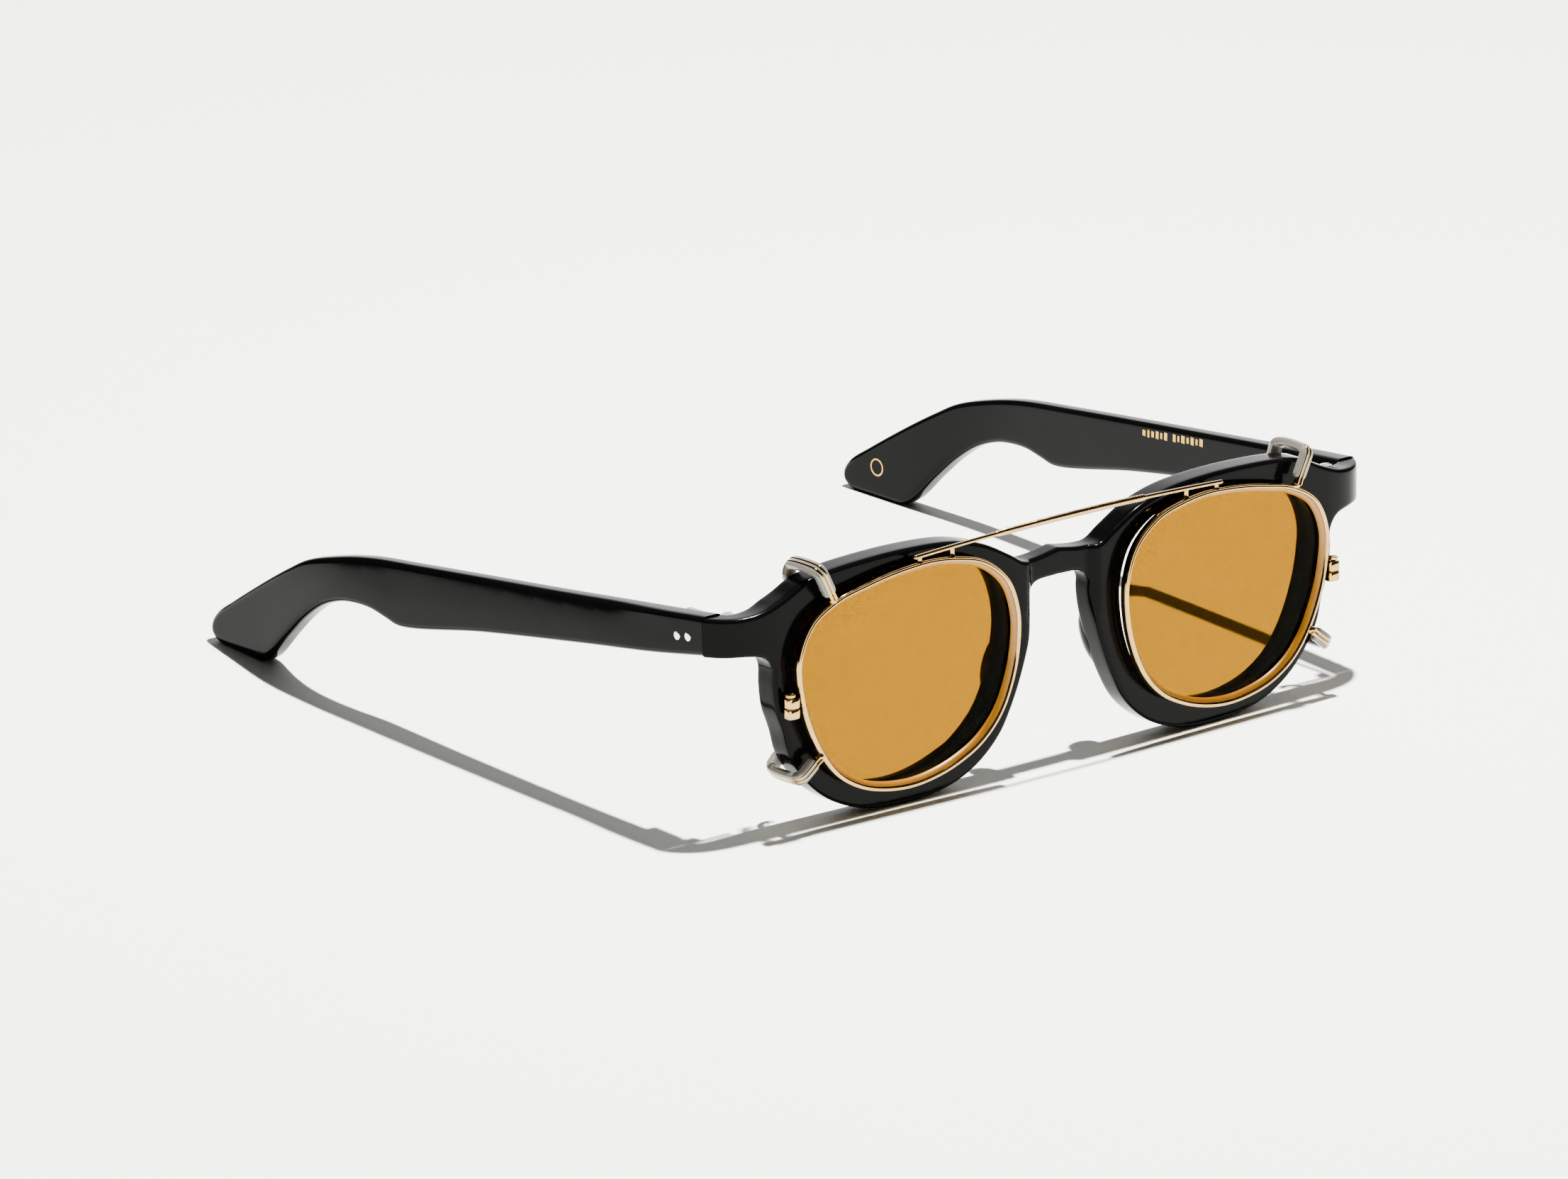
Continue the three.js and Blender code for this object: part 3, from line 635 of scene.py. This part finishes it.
def outer_face(y):
    """The temple's outer face from the middle of the spectacles."""
    return np.interp(y, temple_line[:, 0], temple_line[:, 1])


def thinned(y):
    """How much thinner the temple is at a distance back than at its joint."""
    return np.clip((y - JOINT_DEPTH) / TEMPLE_THINNING_RUN, 0, 1) * TEMPLE_THINNING


def joint_line(z):
    """Where the temple's front end lies at a height, along the leaning joint."""
    return (JOINT_DEPTH + 0.08) * math.cos(LEAN_BACK) + (z - CENTRE_HEIGHT) * math.tan(LEAN_BACK)


temple_run = resample(catmull(
    [(joint_line(TEMPLE_TOP[0][1]), TEMPLE_TOP[0][1])] + TEMPLE_TOP[1:] + TEMPLE_UNDER[:-1]
    + [(joint_line(TEMPLE_UNDER[-1][1]), TEMPLE_UNDER[-1][1])]), 420)
temple_run[:, 1] = np.maximum(temple_run[:, 1], -ROW_SHIFT[2])


def temple_outline(distance):
    run = drawn_in(temple_run, distance)
    end = resample(np.array([run[-1], run[0]]), 16)[1:-1]
    return anticlockwise(np.vstack([run, end]))


temple_upper = catmull(TEMPLE_TOP[:11])
temple_lower = catmull(TEMPLE_UNDER)[::-1]


def crown(points):
    """How far the outer face falls away above and below its middle."""
    y = points[:, 0]
    top = np.interp(y, temple_upper[:, 0], temple_upper[:, 1])
    under = np.interp(y, temple_lower[:, 0], temple_lower[:, 1])
    middle = under + 0.42 * (top - under)
    share = np.clip((points[:, 1] - middle) / (top - middle), 0, 1)
    fade = smooth_step(y, 16, 34) * (1 - smooth_step(y, 100, 122))
    return TEMPLE_CROWN * (0.55 * share + 0.45 * share**2) * fade


def build_temples():
    def place(points, depth):
        y = points[:, 0]
        share = depth / TEMPLE_THICK
        x = outer_face(y) - share * (TEMPLE_THICK - thinned(y)) - (1 - share) * crown(points)
        return table_to_row(np.stack([x, y, points[:, 1]], 1))

    points, faces = plate(
        lambda d: [temple_outline(inset(d, TEMPLE_THICK, TEMPLE_EDGE, TEMPLE_EDGE))],
        round_levels(TEMPLE_THICK, TEMPLE_EDGE, TEMPLE_EDGE, 8), place, 1.2)
    for name, side in SIDES:
        piece(f"arm_{name}", points, faces, acetate, f"temple_arm_{name}",
              [f"temple_{name}"], side)


def build_rivets():
    count = 28
    a = np.linspace(0, 2 * np.pi, count, endpoint=False)
    for end, (y, z) in (("front", (12.6, 34.2)), ("rear", (15.2, 33.8))):
        outer = float(outer_face(y))
        steps = [(outer - 4.0, 0.7), (outer - 0.1, 0.78), (outer + 0.03, 0.74),
                 (outer + 0.09, 0.6), (outer + 0.12, 0.35), (outer + 0.13, 0.08)]
        rings = [np.stack([np.full(count, x), y + r * np.cos(a), z + r * np.sin(a)], 1)
                 for x, r in steps]
        points, faces = sweep(rings)
        for name, side in SIDES:
            piece(f"rivet_{end}_{name}", table_to_row(points), faces, steel,
                  f"temple_arm_{name}", [f"temple_rivet_{end}_{name}"], side)


# ---- clip ----
def eye_to_front(points):
    """From a lens's own axes to the front frame, left side."""
    x, y, z = np.asarray(points, float).T
    c, s = math.cos(LENS_WRAP), math.sin(LENS_WRAP)
    return np.stack([x * c - y * s + HALF_SPACING, x * s + y * c, z], 1)


# the rim's section: distance out from the eye, distance back from the clip plane
RIM_SECTION = [
    (0.0, -0.30), (0.05, -0.56), (0.16, -0.70), (0.32, -0.78), (0.46, -0.76), (0.54, -0.68),
    (0.60, -0.64), (0.68, -0.66), (0.78, -0.62), (0.87, -0.50), (0.90, -0.36), (0.90, 0.50),
    (0.84, 0.68), (0.70, 0.78), (0.25, 0.80), (0.06, 0.76), (0.0, 0.66), (0.0, 0.42),
    (0.3, 0.36), (0.3, -0.26),
]


def rim_loop(offset, count=260):
    """The eye as an open run that starts and ends at the closing block."""
    dense = anticlockwise(resample(catmull(EYE, True), 1200, True))
    right = dense[:, 0] > 15
    start = int(np.argmin(np.where(right, np.abs(dense[:, 1] - BLOCK_LEVEL), 99)))
    run = grow(dense, offset)
    run = np.vstack([np.roll(run, -start, 0), run[start]])
    along = np.r_[0, np.cumsum(np.linalg.norm(np.diff(run, axis=0), axis=1))]
    want = np.linspace(0.04, along[-1] - 0.04, count)
    return np.stack([np.interp(want, along, run[:, i]) for i in range(2)], 1)


def build_rims():
    loops = [rim_loop(a) for a, _ in RIM_SECTION]
    sections = []
    for i in range(len(loops[0])):
        sections.append(np.array([
            (loop[i, 0], y, loop[i, 1]) for loop, (_, y) in zip(loops, RIM_SECTION)]))
    points, faces = sweep(sections)
    for name, side in SIDES:
        piece(f"rim_{name}", to_row(eye_to_front(points)), faces, gold, "clip_on",
              [f"clip_rim_{name}"], side, LOOSE_CREASE)


def build_lenses():
    eye = anticlockwise(resample(catmull(EYE, True), 200, True))
    body = plate(
        lambda d: [grow(eye, 0.12 - inset(d, LENS_THIN, 0.08, 0.08))],
        round_levels(LENS_THIN, 0.08, 0.08, 2),
        lambda p, d: np.stack([p[:, 0], np.full(len(p), d + LENS_FRONT), p[:, 1]], 1), 4.0)
    bands = [(0.06, -0.42), (0.06, 0.45), (-0.7, 0.45), (-0.7, 0.34), (-0.04, -0.42)]
    loops = [grow(eye, a) for a, _ in bands]
    rings = []
    for i in range(len(eye)):
        rings.append(np.array([(q[i, 0], y, q[i, 1]) for q, (_, y) in zip(loops, bands)]))
    edge = sweep(rings, closed=True)
    for name, side in SIDES:
        piece(f"tint_{name}", to_row(eye_to_front(body[0])), body[1], amber, "clip_on",
              [f"clip_lens_{name}"], side)
        piece(f"tint_edge_{name}", to_row(eye_to_front(edge[0])), edge[1], lens_edge,
              "clip_on", (), side, LOOSE_CREASE)


def bar_point(x):
    """The bar's centre line, bowed down and back towards its ends."""
    t = x / BAR_HALF
    y = -0.35 + FRONT_BEND * (x * x - HALF_SPACING**2)
    return np.stack([x, y, BAR_LEVEL - BAR_DROP * t * t], -1)


def build_bar():
    x = np.linspace(-BAR_HALF, BAR_HALF, 700)
    wide = smooth_step(BAR_MID_HALF + 0.5 - np.abs(x), 0, 1.2)
    tip = np.clip((BAR_HALF - np.abs(x)) / 0.5, 0.02, 1)
    dome = np.sqrt(1 - (1 - tip) ** 2)
    knurl = BAR_RIPPLE * np.sin(x * 2 * np.pi / BAR_RIPPLE_PITCH) * wide
    height = (0.38 + 0.2 * wide + knurl) * dome
    depth = (0.40 + 0.1 * wide + knurl) * dome
    points, faces = tube(bar_point(x), depth, height, (0, 1, 0), 24, 2.2)
    piece("bar", to_row(points), faces, gold, "clip_on", ["clip_bar"])


def build_feet():
    count = 24
    a = np.linspace(0, 2 * np.pi, count, endpoint=False)
    for end, x, low in (("outer", 33.2, 18.55), ("inner", 26.2, 18.3)):
        top = float(bar_point(np.array([x]))[0, 2]) - 0.2
        y = -0.2 + FRONT_BEND * (x * x - HALF_SPACING**2)
        waist = [(low, 0.62), (low + 0.15, 0.6), (low + 0.3, 0.46), ((low + top) / 2, 0.38),
                 (top - 0.25, 0.42), (top, 0.5)]
        rings = [np.stack([x + r * 1.2 * np.cos(a), y + r * 0.8 * np.sin(a),
                           np.full(count, z)], 1) for z, r in waist]
        points, faces = sweep(rings)
        for name, side in SIDES:
            piece(f"foot_{end}_{name}", to_row(points), faces, gold, "clip_on",
                  [f"bar_foot_{end}_{name}"], side, LOOSE_CREASE)


def claw_path(base, edge, tip):
    """Wire centre line from the rim over the acetate's edge and down behind it."""
    ring = anticlockwise(resample(catmull(EYE, True), 720, True))
    ring = grow(ring, RIM_BAND - 0.1)
    aim = np.array([math.cos(base), math.sin(base)])
    root = ring[np.argmax((ring / np.linalg.norm(ring, axis=1)[:, None]) @ aim)]
    out, tip = np.array(edge, float), np.array(tip, float)
    away = (out - root) / np.linalg.norm(out - root)
    reach = np.linalg.norm(out - root)
    back = face_depth(HALF_SPACING + out[0]) + FRONT_THICK
    behind = back + CLAW_BEHIND

    def spot(p, push, y):
        q = p + away * push
        return (HALF_SPACING + q[0], y, q[1])

    knots = [
        spot(root, 0, 0.1), spot(root, reach * 0.45, 0.2), spot(out, CLAW_CLEAR - 1.5, 0.22),
        spot(out, CLAW_CLEAR - 0.75, 0.32), spot(out, CLAW_CLEAR - 0.22, 0.75),
        spot(out, CLAW_CLEAR, 1.6), spot(out, CLAW_CLEAR, back - 0.9),
        spot(out, CLAW_CLEAR - 0.5, behind - 0.8), spot(tip, 1.7, behind),
        spot(tip, 0.1, behind)]
    across = (away[1], 0.0, -away[0])
    return resample(catmull(knots), 120), np.array(across)


def build_claws():
    """Each claw is two wires from a bead on the rim, inside one sleeve."""
    claws = (("upper", math.radians(43.5), (18.3, 19.7), (18.0, 17.4)),
             ("lower", math.radians(-28.8), (22.3, -12.9), (20.6, -11.9)))
    for end, base, edge, tip in claws:
        path, across = claw_path(base, edge, tip)
        run = path[3:112]
        ahead = np.gradient(run, axis=0)
        proud = np.cross(across, ahead / np.linalg.norm(ahead, axis=1)[:, None])
        if proud[60] @ np.array([across[2], 0, -across[0]]) > 0:
            proud = -proud
        inner = [tube(run + across * s + proud * WIRE_PROUD, 0.34, 0.33, across, 16)
                 for s in (-WIRE_APART, WIRE_APART)]
        bead = ball(path[2], (0.85, 0.7, 0.65))
        knot = ball(path[7], (0.62, 0.55, 0.5))
        loop_end = ball(run[-1], (0.62, 0.36, 0.4))
        wire = merged(*inner, bead, knot, loop_end)
        skin_run = path[11:119]
        t = np.linspace(0, 1, len(skin_run))
        ends = np.clip(np.minimum(t, 1 - t) * 22, 0.02, 1)
        dome = 0.72 + 0.28 * np.sqrt(1 - (1 - ends) ** 2)
        skin = tube(skin_run, 1.25 * dome, 0.76 * dome, across, 36, 3.6)
        for name, side in SIDES:
            piece(f"wire_{end}_{name}", to_row(wire[0]), wire[1], gold, "clip_on",
                  [f"claw_{end}_{name}"], side, LOOSE_CREASE)
            piece(f"sleeve_{end}_{name}", to_row(skin[0]), skin[1], silicone, "clip_on",
                  [f"claw_sleeve_{end}_{name}"], side, LOOSE_CREASE)


def build_blocks():
    count = 48
    eye_reach = 23.0
    wide, deep = BLOCK_HALF
    middle = HALF_SPACING + eye_reach + RIM_BAND + wide
    c, s = squared_ring(count, BLOCK_ROUNDING)
    for end, low in (("upper", BLOCK_LEVEL + 0.05), ("lower", BLOCK_LEVEL - 1.75)):
        rows = [(0, 0.86), (0.06, 0.95), (0.16, 1.0), (1.54, 1.0), (1.64, 0.95), (1.7, 0.86)]
        rings = [np.stack([middle + wide * r * c, 0.6 + deep * r * s,
                           np.full(count, low + h)], 1) for h, r in rows]
        points, faces = sweep(rings)
        for name, side in SIDES:
            piece(f"block_{end}_{name}", to_row(points), faces, gold, "clip_on",
                  [f"closing_block_{end}_{name}"], side)


def build_foil():
    """Plain gold dashes and a ring on the inner face of the left temple."""
    shapes = []
    widths = [0.9, 0.5, 0.8, 0.6, 0.9, 0.5, 0.7, 0, 0.8, 0.5, 0.7, 0.7, 0.5, 0.8]
    y = FOIL_START
    for i, width in enumerate(widths):
        if width:
            z = FOIL_LEVEL - FOIL_SLOPE * (y - FOIL_START)
            shapes.append(foil_bar(y, z, width, 1.05 if i % 2 else 1.35))
        y += max(width, 0.5) + FOIL_SPACE
    turns = np.linspace(0, 2 * np.pi, 40, endpoint=False)
    rings = []
    for t in turns:
        middle = np.array([133.6 + 1.5 * math.cos(t), 5.6 + 1.5 * math.sin(t)])
        out = np.array([math.cos(t), math.sin(t)])
        rings.append(np.array([
            foil_point(*(middle + out * 0.14), 0.0), foil_point(*(middle - out * 0.14), 0.0),
            foil_point(*(middle - out * 0.14), FOIL_PROUD),
            foil_point(*(middle + out * 0.14), FOIL_PROUD)]))
    shapes.append(sweep(rings, closed=True))
    points, faces = merged(*shapes)
    piece("foil_mark", table_to_row(points), faces, foil, "temple_arm_left")


def foil_point(y, z, proud):
    """A point on the temple's inner face, or proud of it."""
    sunk = 0.03
    return (float(outer_face(y)) - TEMPLE_THICK + float(thinned(y)) + sunk - proud, y, z)


def foil_bar(y, z, width, tall):
    rings = []
    for across in (0, width):
        rings.append(np.array([
            foil_point(y + across, z - tall / 2, 0), foil_point(y + across, z + tall / 2, 0),
            foil_point(y + across, z + tall / 2, FOIL_PROUD),
            foil_point(y + across, z - tall / 2, FOIL_PROUD)]))
    return sweep(rings)


build_front()
build_pads()
build_temples()
build_rivets()
build_rims()
build_lenses()
build_bar()
build_feet()
build_claws()
build_blocks()
build_foil()
for name, _ in SIDES:
    refined(f"hinge_front_{name}", gold, "frame", 0.1)
    refined(f"hinge_temple_{name}", gold, f"temple_arm_{name}", 0.1)
    refined(f"hinge_screw_{name}", steel, "frame", 0.08)
    refined(f"block_screw_{name}", gold, "clip_on", 0.08)
    for node, material in ((f"clear_lens_{name}", clear), (f"temple_core_{name}", steel)):
        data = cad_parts[node].data
        data.materials.clear()
        data.materials.append(material)

# ---- floor, light and camera ----
def build_floor():
    half = 6
    mesh = bpy.data.meshes.new("floor")
    mesh.from_pydata([(-half, -half, 0), (half, -half, 0), (half, half, 0), (-half, half, 0)],
                     [], [(0, 1, 2, 3)])
    floor = bpy.data.objects.new("floor", mesh)
    bpy.context.scene.collection.objects.link(floor)
    paper, shader = matt_material("paper", (0.895, 0.905, 0.85), (0.905, 0.915, 0.86), 3, 0.9)
    shader.inputs["Specular IOR Level"].default_value = 0.1
    mesh.materials.append(paper)


def build_key():
    """One near lamp, for shadows that fan out; its constant falloff keeps the floor even."""
    data = bpy.data.lights.new("key", "POINT")
    data.energy = 268
    data.shadow_soft_size = 0.011
    data.use_nodes = True
    nodes = data.node_tree.nodes
    falloff = nodes.new("ShaderNodeLightFalloff")
    falloff.inputs["Strength"].default_value = 1.0
    data.node_tree.links.new(falloff.outputs["Constant"], nodes["Emission"].inputs["Strength"])
    key = bpy.data.objects.new("key", data)
    key.location = (0.079, -0.039, 0.608)
    bpy.context.scene.collection.objects.link(key)


def glow(nodes, links, source, low, dim, high, bright):
    """A grey that goes from dim at low to bright at high."""
    ramp = nodes.new("ShaderNodeValToRGB")
    for element, at, level in zip(ramp.color_ramp.elements, (low, high), (dim, bright)):
        element.position = at
        element.color = (level, level, level, 1)
    links.new(source, ramp.inputs["Fac"])
    return ramp.outputs["Color"]


def build_sky():
    """A dim ceiling, and a bright wall that the metal and the acetate reflect."""
    world = bpy.data.worlds.new("studio")
    world.use_nodes = True
    bpy.context.scene.world = world
    nodes, links = world.node_tree.nodes, world.node_tree.links
    place = nodes.new("ShaderNodeTexCoord")
    split = nodes.new("ShaderNodeSeparateXYZ")
    links.new(place.outputs["Generated"], split.inputs["Vector"])
    facing = nodes.new("ShaderNodeVectorMath")
    facing.operation = "DOT_PRODUCT"
    facing.inputs[1].default_value = (0.62, 0.74, 0.27)
    links.new(place.outputs["Generated"], facing.inputs[0])
    both = nodes.new("ShaderNodeVectorMath")
    both.operation = "ADD"
    links.new(glow(nodes, links, split.outputs["Z"], 0.74, 0.03, 0.86, 0.16), both.inputs[0])
    links.new(glow(nodes, links, facing.outputs["Value"], 0.80, 0, 0.93, 3.0), both.inputs[1])
    links.new(both.outputs["Vector"], nodes["Background"].inputs["Color"])


def build_camera():
    azimuth, elevation = math.radians(40.0), math.radians(18.09)
    roll = math.radians(0.66)
    target = np.array([-37.97, 30.0, 30.89]) + ROW_SHIFT
    distance = 2202.2
    back = np.array([-math.sin(azimuth) * math.cos(elevation),
                     -math.cos(azimuth) * math.cos(elevation), math.sin(elevation)])
    right = np.array([math.cos(azimuth), -math.sin(azimuth), 0])
    up = np.cross(back, right)
    x = right * math.cos(roll) + up * math.sin(roll)
    y = -right * math.sin(roll) + up * math.cos(roll)
    spot = (target + distance * back) * MM
    data = bpy.data.cameras.new("camera")
    data.sensor_width = 36
    data.lens = 298.8
    data.clip_end = 50
    camera = bpy.data.objects.new("camera", data)
    bpy.context.scene.collection.objects.link(camera)
    camera.matrix_world = Matrix((
        (x[0], y[0], back[0], spot[0]), (x[1], y[1], back[1], spot[1]),
        (x[2], y[2], back[2], spot[2]), (0, 0, 0, 1)))
    bpy.context.scene.camera = camera


build_floor()
build_key()
build_sky()
build_camera()
